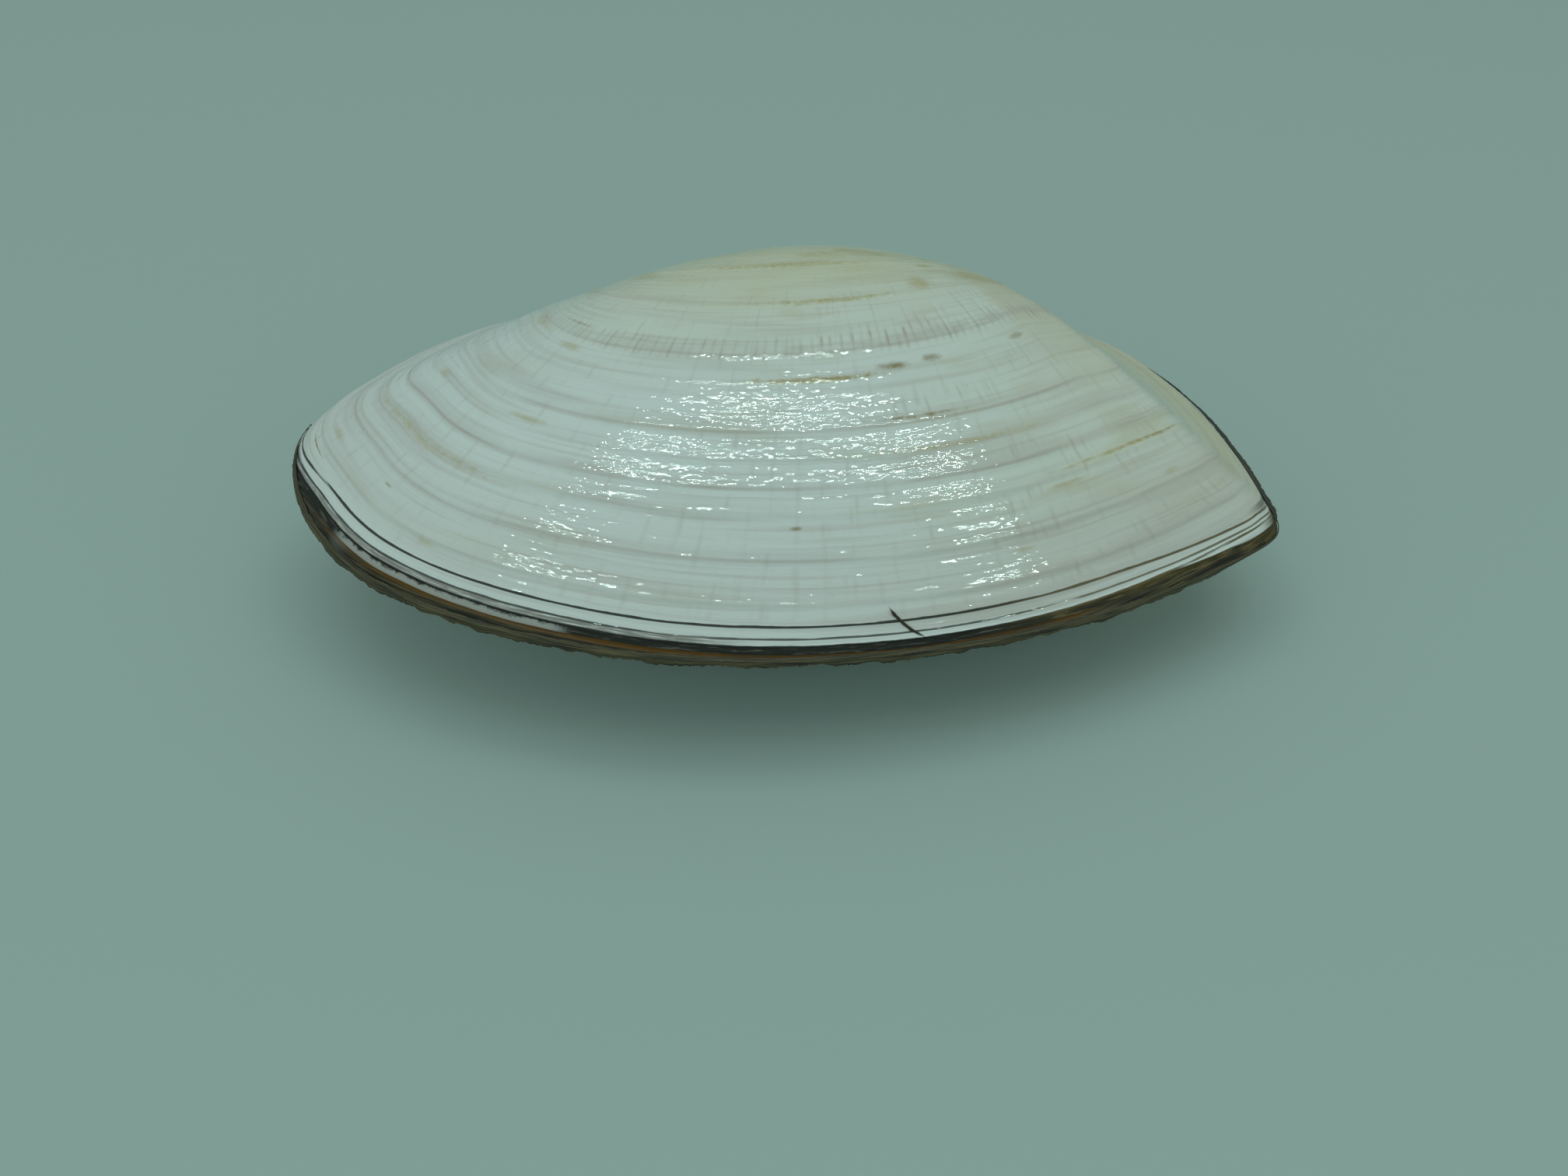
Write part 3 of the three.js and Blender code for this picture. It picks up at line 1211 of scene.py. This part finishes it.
@dataclass(frozen=True)
class Hairlines(Layer):
    """Faint rays from the umbo, broken by the bands and denser to the hind end."""

    bending: Grain = Grain(0.1, 6.0, 8.0)
    bend: float = 0.9
    banding: Grain = Grain(0.06, 17.0, 9.0, 1.0, limits=(0.42, 0.62))
    patching: Grain = Grain(0.7, 26.0, 10.0, 1.0, limits=(0.42, 0.74))
    start: Span = (0.36, 0.5)
    end: Span = (0.952, 0.94)
    hind: Span = (0.42, 0.62)
    wide_rate: float = 0.42
    wide_soft: float = 0.19
    close_rate: float = 0.7
    close_randomness: float = 0.9
    close_soft: float = 0.3
    dash_stage: float = 0.578
    dash_half: float = 0.012
    shade_stage: float = 0.58
    shade_soft: float = 0.014
    shade_part: Span = (0.53, 0.7)
    shade_part_soft: float = 0.08
    shade_breaks: Grain = Grain(0.25, 90.0, 23.0, 3.0, limits=(0.3, 0.7))

    def paint(self, chart: Chart, under: object) -> Value:
        """The rays, and the mauve shade behind the strongest of them.

        Args:
            chart: the valve's chart.
            under: the colour below, a Value or three numbers.

        Returns:
            The colour with this layer over it.
        """
        graph = chart.graph
        rays = chart.share * chart.margin_length + chart.noise(self.bending) * self.bend
        reach = chart.aged(self.start) * chart.aged(self.end)
        dashes = graph.line(chart.growth, self.dash_stage, self.dash_half, self.dash_half)
        patch = chart.patches(self.patching)
        wide = graph.line(graph.cracks(rays * self.wide_rate), 0.0, 0.0, self.wide_soft) * patch * 0.22
        cracks = graph.cracks(rays * self.close_rate, self.close_randomness)
        banded = chart.patches(self.banding) * patch * (chart.onward(self.hind) * 0.32 + 0.06)
        close = graph.line(cracks, 0.0, 0.0, self.close_soft) * (banded + dashes * (patch * 0.4 + 0.2))
        shade = graph.line(chart.growth, self.shade_stage, 0.0, self.shade_soft)
        shade = shade * graph.span(chart.share, *self.shade_part, self.shade_part_soft)
        colour = graph.paint(under, self.colours.mauve, shade * chart.patches(self.shade_breaks) * 0.5)
        return graph.paint(colour, self.colours.hairline, graph.most(wide, close) * reach)


@dataclass(frozen=True)
class StainMarks(Layer):
    """Single stains, the long ones more ragged than the short."""

    stains: tuple[Stain, ...]
    fraying: Grain = Grain(0.6, 110.0, 12.0, 4.0, 0.6)
    fray: float = 2.6
    specks: Grain = Grain(1.4, 130.0, 20.0, 3.0, 0.6, (0.36, 0.6))
    long_stain: float = 0.03
    least_ragged: float = 0.45
    edge: Span = (1.35, 0.1)

    def paint(self, chart: Chart, under: object) -> Value:
        """The stains in their order.

        Args:
            chart: the valve's chart.
            under: the colour below, a Value or three numbers.

        Returns:
            The colour with this layer over it.
        """
        graph, colour = chart.graph, under
        fray = (chart.noise(self.fraying) - 0.5) * self.fray
        speck = chart.patches(self.specks) * 0.55 + 0.45
        for stain in self.stains:
            away_s = (chart.share - stain.share) / stain.along
            away_g = (chart.growth - stain.growth) / stain.across
            ragged = max(min(stain.along / self.long_stain, 1.0), self.least_ragged)
            away = (away_s * away_s + away_g * away_g) ** 0.5 + fray * ragged
            tone = self.colours.umber if stain.umber else self.colours.ochre
            depth = speck * ragged + (1.0 - ragged)
            colour = graph.paint(colour, tone, graph.ease(away, *self.edge) * depth * stain.strength)
        return colour


@dataclass(frozen=True)
class BlackLine:
    """A black line near the margin: its stage, its half width and its strength."""

    stage: float
    half: float
    strength: float


@dataclass(frozen=True)
class DarkMargin(Layer):
    """The black lines, the charcoal and olive skin, the amber edge and the rim of the hind cut."""

    streaks: Grain = Grain(0.35, 330.0, 13.0, 3.0, 0.6)
    smears: Grain = Grain(0.12, 120.0, 14.0, 3.0)
    swells: Grain = Grain(0.3, 25.0, 19.0, 3.0, 0.6)
    ventral: Span = (0.226, 0.737)
    ventral_soft: float = 0.012
    front: Span = (0.345, 0.32)
    hind: Span = (0.585, 0.635)
    wear: Span = (0.28, 0.42)
    film: Span = (0.9695, 0.978)
    film_soft: float = 0.001
    film_part: Span = (0.24, 0.48)
    film_part_soft: float = 0.03
    drips: Grain = Grain(0.9, 40.0, 15.0, 4.0, 0.75)
    drip_start: float = 0.978
    drip_fall: float = 42.0
    comb: Span = (0.338, 0.428)
    comb_soft: float = 0.012
    lip_stages: Span = (0.976, 0.98)
    skin: Span = (0.9772, 0.979)
    skin_stray: float = 0.004
    front_narrowing: Span = (0.258, 0.226)
    front_narrowness: float = 0.018
    hind_narrowing: Span = (0.66, 0.73)
    hind_narrowness: float = 0.012
    edge: Span = (0.987, 0.9885)
    edge_rate: float = 0.2
    edge_layers: float = 420.0
    edge_slant: float = 50.0
    edge_seed: float = 21.0
    amber: Span = (0.9945, 0.9915)
    amber_stray: float = 0.005
    amber_part: Span = (0.335, 0.62)
    amber_part_soft: float = 0.03
    black_lines: tuple[BlackLine, ...] = (
        BlackLine(0.9535, 0.0022, 1.0), BlackLine(0.969, 0.0016, 0.9), BlackLine(0.9785, 0.0018, 1.0),
    )
    line_stray: float = 0.0016
    line_soft: float = 0.0012
    drawn_front: Span = (0.32, 0.255)
    drawn_hind: Span = (0.64, 0.735)
    drawn_stage: float = 0.981
    drawn_share: float = 0.45
    cut: Span = (0.737, 0.875)
    cut_soft: float = 0.015
    rim: Span = (0.974, 0.984)
    rim_stray: float = 0.03
    cut_line: float = 0.958
    cut_line_half: float = 0.006
    cut_line_soft: float = 0.004
    cut_line_stray: float = 0.008

    def paint(self, chart: Chart, under: object) -> Value:
        """The margin's skin, then its edge, its lines and the rim of the hind cut.

        Args:
            chart: the valve's chart.
            under: the colour below, a Value or three numbers.

        Returns:
            The colour with this layer over it.
        """
        graph = chart.graph
        streak, smear, swell = (chart.noise(grain) for grain in (self.streaks, self.smears, self.swells))
        below = graph.span(chart.share, *self.ventral, self.ventral_soft)
        hind = chart.onward(self.hind)
        worn = graph.ease(smear, *self.wear)
        narrow = chart.onward(self.hind_narrowing) * self.hind_narrowness
        narrow = narrow + chart.onward(self.front_narrowing) * self.front_narrowness
        inner = chart.growth - narrow + (smear - 0.5) * self.skin_stray

        film = graph.span(chart.growth, *self.film, self.film_soft)
        film = film * graph.span(chart.share, *self.film_part, self.film_part_soft) * below
        colour = graph.paint(under, self.colours.film, film * graph.ease(streak, 0.3, 0.55) * 0.8)
        drip = chart.noise(self.drips) - (chart.growth - self.drip_start) * self.drip_fall
        lip = graph.span(chart.share, *self.comb, self.comb_soft) * graph.ease(drip, 0.48, 0.25)
        colour = graph.paint(colour, self.colours.lip, lip * chart.aged(self.lip_stages))
        skin = graph.ease(inner, *self.skin) * (1.0 - lip * 0.8) * below
        dark = self.skin_tone(graph, streak, smear, swell, hind)
        colour = graph.paint(colour, dark, skin * (graph.ease(streak, 0.12, 0.3) * 0.2 + 0.8))

        edge = graph.ease(inner, *self.edge) * below * (1.0 - chart.onward(self.front) * 0.5)
        colour = graph.paint(colour, self.edge_tone(chart, streak, swell), edge)
        colour = self.lines(chart, colour, swell, below * (worn * 0.75 + 0.2))
        cut = graph.span(chart.share, *self.cut, self.cut_soft)
        rim = graph.ease(chart.growth + (smear - 0.5) * self.rim_stray, *self.rim)
        strayed = chart.growth + (swell - 0.5) * self.cut_line_stray
        trace = graph.line(strayed, self.cut_line, swell * self.cut_line_half, self.cut_line_soft)
        return graph.paint(colour, self.colours.olive, cut * graph.most(rim * 0.9, trace * worn * 0.7))

    def skin_tone(self, graph: Graph, streak: Value, smear: Value, swell: Value, hind: Value) -> Value:
        """The skin's colour: charcoal in front, olive and straw to the hind end.

        Args:
            graph: the material's graph.
            streak: fine noise along the growth lines.
            smear: broader noise along them.
            swell: noise that thickens and thins what it follows.
            hind: 1 to the hind end, 0 in front.

        Returns:
            The colour.
        """
        tone = graph.most(hind * graph.ease(smear, 0.25, 0.6), graph.ease(streak, 0.55, 0.75) * 0.6)
        dark = graph.paint(self.colours.charcoal, self.colours.olive, tone)
        dark = graph.paint(dark, self.colours.film, graph.ease(streak, 0.52, 0.68) * (1.0 - hind) * 0.5)
        straw = graph.ease(streak + (swell - 0.5) * 0.3, 0.46, 0.66) * hind * 0.85
        return graph.paint(dark, self.colours.straw, straw)

    def edge_tone(self, chart: Chart, streak: Value, swell: Value) -> Value:
        """The colour of the outermost edge: frayed layers, amber where the light comes through.

        Args:
            chart: the valve's chart.
            streak: fine noise along the growth lines.
            swell: noise that thickens and thins what it follows.

        Returns:
            The colour.
        """
        graph = chart.graph
        amber = graph.ease(chart.growth + (streak - 0.5) * self.amber_stray, *self.amber)
        amber = amber * (graph.ease(swell, 0.3, 0.55) * 0.6 + 0.4)
        amber = amber * graph.span(chart.share, *self.amber_part, self.amber_part_soft)
        along = chart.share * (chart.margin_length * self.edge_rate)
        across = chart.growth * self.edge_layers + chart.share * self.edge_slant
        layers = graph.noise(graph.vector(along, across, self.edge_seed), detail=4.0)
        straw = graph.ease(layers, 0.4, 0.68) * 0.6
        frayed = graph.paint(self.colours.charcoal, self.colours.straw, straw)
        return graph.paint(frayed, self.colours.amber, amber)

    def lines(self, chart: Chart, under: Value, swell: Value, shown: Value) -> Value:
        """The black lines, drawn together at both ends.

        Args:
            chart: the valve's chart.
            under: the colour below.
            swell: noise that thickens and thins the lines.
            shown: how far they show.

        Returns:
            The colour with the lines over it.
        """
        graph, colour = chart.graph, under
        brown = graph.paint(self.colours.black, self.colours.umber, chart.onward(self.hind) * 0.45)
        drawn = chart.onward(self.drawn_front) + chart.onward(self.drawn_hind)
        for line in self.black_lines:
            shifted = chart.growth - drawn * ((self.drawn_stage - line.stage) * self.drawn_share)
            strayed = shifted + (swell - 0.5) * self.line_stray
            trace = graph.line(strayed, line.stage, swell * line.half, self.line_soft)
            colour = graph.paint(colour, brown, trace * shown * line.strength)
        return colour


@dataclass(frozen=True)
class Finish:
    """A finish, named for what it looks like."""

    name: str

    def dress(self, graph: Graph, shader: bpy.types.Node) -> None:
        """Sets the shader's inputs."""
        raise NotImplementedError

    def material(self) -> bpy.types.Material:
        """The finish as a node material.

        Returns:
            The new material.
        """
        made = bpy.data.materials.new(self.name)
        made.use_nodes = True
        self.dress(Graph(made.node_tree), made.node_tree.nodes["Principled BSDF"])
        return made


@dataclass(frozen=True)
class PorcelainFinish(Finish):
    """The white shell with its growth bands, hairlines, stains and dark margin."""

    form: ShellForm
    stains: tuple[Stain, ...]
    colours: Palette = Palette()
    inside: Span = (1.0, 1.004)
    stria: Grain = Grain(0.12, 110.0, 16.0, 1.0)
    stria_share: float = 0.7
    crinkle: Grain = Grain(0.7, 130.0, 17.0, 1.0)
    crinkle_depth: float = 0.055 * MM
    polish: Grain = Grain(0.2, 40.0, 18.0)
    polish_range: float = 0.04
    least_roughness: float = 0.03
    horny: Span = (0.97, 0.982)
    horny_change: float = 0.32
    gloss: float = 0.5
    glow: float = 0.06
    glow_radius: Colour = (1.0, 0.8, 0.6)
    glow_depth: float = 0.6 * MM

    def surface(self, chart: Chart, shader: bpy.types.Node) -> None:
        """The gloss, broken by fine growth lines and duller on the horny margin.

        Args:
            chart: the valve's chart.
            shader: the material's shader node.
        """
        graph = chart.graph
        height = chart.noise(self.stria) * self.stria_share + chart.noise(self.crinkle)
        inputs = {"Strength": 1.0, "Distance": self.crinkle_depth, "Height": height}
        graph.put(shader.inputs["Normal"], graph.call("ShaderNodeBump", inputs, "Normal"))
        horny = chart.aged(self.horny) * self.horny_change
        roughness = chart.noise(self.polish) * self.polish_range + self.least_roughness
        graph.put(shader.inputs["Roughness"], roughness + horny)
        graph.put(shader.inputs["Specular IOR Level"], self.gloss - horny)
        graph.put(shader.inputs["Subsurface Weight"], self.glow)
        graph.put(shader.inputs["Subsurface Radius"], self.glow_radius)
        graph.put(shader.inputs["Subsurface Scale"], self.glow_depth)

    def dress(self, graph: Graph, shader: bpy.types.Node) -> None:
        """Paints the layers in order, leaves the inside white, and sets the gloss.

        Args:
            graph: the material's graph.
            shader: the material's shader node.
        """
        chart = Chart.of(graph)
        layers = (
            Bands(self.colours), HaltLines(self.colours, self.form.lines[1:]), Hairlines(self.colours),
            StainMarks(self.colours, self.stains), DarkMargin(self.colours),
        )
        colour = self.colours.white
        for layer in layers:
            colour = layer.paint(chart, colour)
        colour = graph.paint(colour, self.colours.white, chart.aged(self.inside))
        graph.put(shader.inputs["Base Color"], colour)
        self.surface(chart, shader)


@dataclass(frozen=True)
class SkinFinish(Finish):
    """Horny skin, streaked along its length."""

    dark: Colour
    light: Colour
    lengthwise: float
    crosswise: float
    roughness: float
    slant: float = 0.0
    light_limits: Span = (0.4, 0.66)
    bump: float = 0.6
    bump_depth: float = 0.1 * MM

    def dress(self, graph: Graph, shader: bpy.types.Node) -> None:
        """Lays light streaks over the dark skin, and raises them.

        Args:
            graph: the material's graph.
            shader: the material's shader node.
        """
        along, across, _ = graph.parts(graph.call("ShaderNodeUVMap", {}, uv_map=GROWTH_MAP))
        slanted = across * self.crosswise + along * (self.lengthwise * self.slant)
        streak = graph.noise(graph.vector(along * self.lengthwise, slanted, 0.0), detail=4.0)
        colour = graph.paint(self.dark, self.light, graph.ease(streak, *self.light_limits))
        graph.put(shader.inputs["Base Color"], colour)
        inputs = {"Strength": self.bump, "Distance": self.bump_depth, "Height": streak}
        graph.put(shader.inputs["Normal"], graph.call("ShaderNodeBump", inputs, "Normal"))
        graph.put(shader.inputs["Roughness"], self.roughness)


@dataclass(frozen=True)
class PlainFinish(Finish):
    """A single soft colour, for the ground."""

    colour: Colour
    roughness: float

    def dress(self, graph: Graph, shader: bpy.types.Node) -> None:
        """Sets the colour and the roughness."""
        graph.put(shader.inputs["Base Color"], (*self.colour, 1.0))
        graph.put(shader.inputs["Roughness"], self.roughness)


@dataclass(frozen=True)
class Lamp:
    """An area light that faces the shell, in metres and watts.

    It shows as a glint alone, or lights without one. The yaw turns its long side about the vertical.
    """

    name: str
    place: tuple[float, float, float]
    size: tuple[float, float]
    power: float
    glint: bool = False
    yaw: float = 0.0


@dataclass
class Studio:
    """The pale ground, the soft lights and the camera."""

    ground_size: float = 6.0
    ground: PlainFinish = PlainFinish("pale_ground", (0.46, 0.545, 0.52), 0.65)
    tint: Colour = (0.75, 1.0, 0.94)
    room_strength: float = 0.32
    aim: tuple[float, float, float] = (-0.35 * MM, -18.7 * MM, 12.0 * MM)
    distance: float = 140.7 * MM
    elevation: float = math.radians(37.9)
    azimuth: float = math.radians(-1.96)
    roll: float = math.radians(0.92)
    lens: float = 40.18
    sensor: float = 36.0
    nearest: float = 5 * MM
    lamp_aim: tuple[float, float, float] = (0.0, 0.0, 12 * MM)
    lamps: tuple[Lamp, ...] = (
        Lamp("overhead_tube", (0.06, 0.01, 0.75), (0.72, 0.01), 1.8, True, math.radians(-10.0)),
        Lamp("overhead_soft", (0.0, -0.1, 0.8), (0.9, 0.7), 1.85),
        Lamp("left_soft", (-0.6, -0.5, 0.5), (0.7, 0.7), 0.6),
        Lamp("right_soft", (0.6, -0.6, 0.5), (0.7, 0.7), 0.5),
    )

    def floor(self) -> None:
        """Makes the ground that the shell lies on."""
        bpy.ops.mesh.primitive_plane_add(size=self.ground_size)
        floor = bpy.context.object
        floor.name = "ground"
        floor.data.materials.append(self.ground.material())

    def camera(self) -> None:
        """Puts the camera at the photograph's viewing angle."""
        data = bpy.data.cameras.new("camera")
        data.lens = self.lens
        data.sensor_width = self.sensor
        data.clip_start = self.nearest
        back = Vector((
            math.sin(self.azimuth) * math.cos(self.elevation),
            -math.cos(self.azimuth) * math.cos(self.elevation),
            math.sin(self.elevation),
        ))
        level = Vector((0, 0, 1)).cross(back).normalized()
        rise = back.cross(level)
        right = level * math.cos(self.roll) + rise * math.sin(self.roll)
        camera = bpy.data.objects.new("camera", data)
        camera.matrix_world = self.facing(right, back, Vector(self.aim) + back * self.distance)
        bpy.context.scene.collection.objects.link(camera)
        bpy.context.scene.camera = camera

    def facing(self, right: Vector, back: Vector, place: Vector) -> Matrix:
        """Where a camera or light stands, by the ways to its right and its back."""
        turn = Matrix((right, back.cross(right), back)).transposed().to_4x4()
        return Matrix.Translation(place) @ turn

    def light(self, lamp: Lamp) -> None:
        """Adds a light that faces the shell.

        Args:
            lamp: the light's place, size and power.
        """
        data = bpy.data.lights.new(lamp.name, "AREA")
        data.shape = "RECTANGLE"
        data.size, data.size_y = lamp.size
        data.energy = lamp.power
        data.color = self.tint
        light = bpy.data.objects.new(lamp.name, data)
        back = (Vector(lamp.place) - Vector(self.lamp_aim)).normalized()
        right = Vector((math.sin(-lamp.yaw), math.cos(lamp.yaw), 0)).cross(back).normalized()
        light.matrix_world = self.facing(right, back, Vector(lamp.place))
        light.visible_diffuse = not lamp.glint
        light.visible_glossy = lamp.glint
        bpy.context.scene.collection.objects.link(light)

    def room(self) -> None:
        """Sets the soft light from all round, and plain colours in the picture."""
        world = bpy.data.worlds.new("soft_room")
        world.use_nodes = True
        background = world.node_tree.nodes["Background"]
        background.inputs["Color"].default_value = (*self.tint, 1.0)
        background.inputs["Strength"].default_value = self.room_strength
        bpy.context.scene.world = world
        bpy.context.scene.view_settings.view_transform = "Standard"

    def build(self) -> None:
        """Sets up the ground, the camera and the lights."""
        self.floor()
        self.camera()
        for lamp in self.lamps:
            self.light(lamp)
        self.room()


# Stains of the left valve where the photograph shows them, then guessed ones of the right valve
LEFT_STAINS = (
    Stain(0.525, 0.630, 0.044, 0.005, 0.9), Stain(0.535, 0.629, 0.03, 0.003, 0.6, True),
    Stain(0.577, 0.620, 0.010, 0.007, 0.9, True), Stain(0.604, 0.6175, 0.007, 0.006, 0.8, True),
    Stain(0.675, 0.620, 0.008, 0.005, 0.6, True), Stain(0.310, 0.596, 0.022, 0.009, 0.45),
    Stain(0.362, 0.606, 0.011, 0.007, 0.55), Stain(0.350, 0.566, 0.016, 0.003, 0.5, True),
    Stain(0.582, 0.695, 0.03, 0.003, 0.75, True), Stain(0.600, 0.738, 0.050, 0.004, 0.6),
    Stain(0.373, 0.7255, 0.013, 0.006, 0.5), Stain(0.289, 0.7365, 0.007, 0.007, 0.45),
    Stain(0.318, 0.818, 0.060, 0.006, 0.5), Stain(0.695, 0.803, 0.045, 0.003, 0.95),
    Stain(0.715, 0.802, 0.022, 0.002, 0.5, True), Stain(0.650, 0.8215, 0.011, 0.004, 0.55),
    Stain(0.519, 0.826, 0.003, 0.003, 0.9, True), Stain(0.540, 0.4917, 0.052, 0.006, 0.8),
    Stain(0.500, 0.386, 0.080, 0.009, 0.7), Stain(0.654, 0.403, 0.013, 0.009, 0.8),
    Stain(0.627, 0.469, 0.013, 0.022, 0.7), Stain(0.700, 0.4475, 0.024, 0.022, 0.65),
    Stain(0.279, 0.902, 0.008, 0.006, 0.45), Stain(0.368, 0.930, 0.006, 0.004, 0.5),
    Stain(0.332, 0.892, 0.003, 0.002, 0.6, True), Stain(0.276, 0.940, 0.010, 0.0015, 0.9, True),
    Stain(0.618, 0.888, 0.005, 0.004, 0.5), Stain(0.706, 0.8555, 0.005, 0.005, 0.5),
)
RIGHT_STAINS = (
    Stain(0.610, 0.930, 0.030, 0.007, 0.5, True), Stain(0.450, 0.62, 0.030, 0.004, 0.6),
    Stain(0.360, 0.80, 0.040, 0.005, 0.5), Stain(0.560, 0.44, 0.050, 0.008, 0.6),
    Stain(0.690, 0.72, 0.030, 0.004, 0.7),
)
# The middle line of each loose shred: share round the margin, growth, and height over the valve
LEFT_SHRED = (
    (0.5555, 0.9445, 0.5 * MM), (0.5575, 0.952, 0.25 * MM), (0.5605, 0.962, 0.06 * MM),
    (0.5635, 0.972, 0.05 * MM), (0.5685, 0.984, 0.08 * MM),
)
RIGHT_SHRED = (
    (0.520, 0.945, 0.4 * MM), (0.526, 0.951, 0.12 * MM), (0.532, 0.960, 0.05 * MM), (0.538, 0.968, 0.1 * MM),
)


def valves(form: ShellForm) -> list[tuple[Piece, Finish]]:
    """Both valves, each with its finish.

    Args:
        form: the form that both valves share.

    Returns:
        The pieces in building order, each with its finish.
    """
    left = Valve(name="left_valve_shell", node="left_valve", form=form, side=Side.LEFT)
    right = Valve(
        name="right_valve_shell", node="right_valve", form=form, side=Side.RIGHT,
        wander=Wander(wave_start=0.52),
    )
    return [
        (left, PorcelainFinish("left_porcelain", form, LEFT_STAINS)),
        (right, PorcelainFinish("right_porcelain", form, RIGHT_STAINS)),
    ]


def skins(form: ShellForm) -> list[tuple[Piece, Finish]]:
    """The skin that stands past the margin and its loose shreds, each with its finish.

    Args:
        form: the form that both valves share.

    Returns:
        The pieces in building order, each with its finish.
    """
    olive = SkinFinish(
        "olive_skin", dark=(0.022, 0.019, 0.011), light=(0.17, 0.125, 0.055),
        lengthwise=45.0, crosswise=14.0, roughness=0.55, slant=0.3,
    )
    brown = SkinFinish(
        "brown_skin", dark=(0.016, 0.012, 0.008), light=(0.085, 0.055, 0.025),
        lengthwise=45.0, crosswise=9.0, roughness=0.55, slant=0.3,
    )
    ventral = MarginSkin(
        name="ventral_skin", form=form, side=Side.LEFT, start=0.25, end=0.742,
        cover=0.005, reach=0.72 * MM, lean=0.85, seed=3.0, tail=0.2,
    )
    hind_left = MarginSkin(
        name="hind_skin_left", form=form, side=Side.LEFT, start=0.737, end=0.885,
        cover=0.016, reach=0.95 * MM, lean=0.35, seed=7.0, tail=0.3,
    )
    hind_right = MarginSkin(
        name="hind_skin_right", form=form, side=Side.RIGHT, start=0.737, end=0.885,
        cover=0.014, reach=0.5 * MM, lean=0.3, seed=11.0, tail=0.35,
    )
    left_shred = Shred(
        name="skin_shred_left_1", form=form, side=Side.LEFT, path=LEFT_SHRED, width=0.11 * MM,
    )
    right_shred = Shred(
        name="skin_shred_right_1", form=form, side=Side.RIGHT, path=RIGHT_SHRED, width=0.1 * MM,
    )
    return [
        (ventral, olive), (hind_left, brown), (hind_right, brown), (left_shred, brown), (right_shred, brown),
    ]


def ligament(form: ShellForm) -> list[tuple[Piece, Finish]]:
    """The ligament with its finish.

    Args:
        form: the form that both valves share.

    Returns:
        The pieces in building order, each with its finish.
    """
    horn = SkinFinish(
        "ligament_horn_brown", dark=(0.035, 0.018, 0.008), light=(0.19, 0.095, 0.035),
        lengthwise=6.0, crosswise=24.0, roughness=0.45,
    )
    return [(Ligament(name="hinge_ligament", slot="ligament_horn", node="ligament", form=form), horn)]


def main() -> None:
    """Builds the shell and the studio, and logs each piece's triangle count."""
    logging.basicConfig(level=logging.INFO, format="%(name)s: %(message)s")
    form = ShellForm()
    margin = form.margin_curve()
    for piece, finish in valves(form) + skins(form) + ligament(form):
        made = piece.build(margin, finish)
        triangles = sum(len(face.vertices) - 2 for face in made.data.polygons)
        LOG.info("%s: %d triangles", made.name, triangles)
    bpy.data.objects.remove(margin)
    Studio().build()


if __name__ == "__main__":
    main()
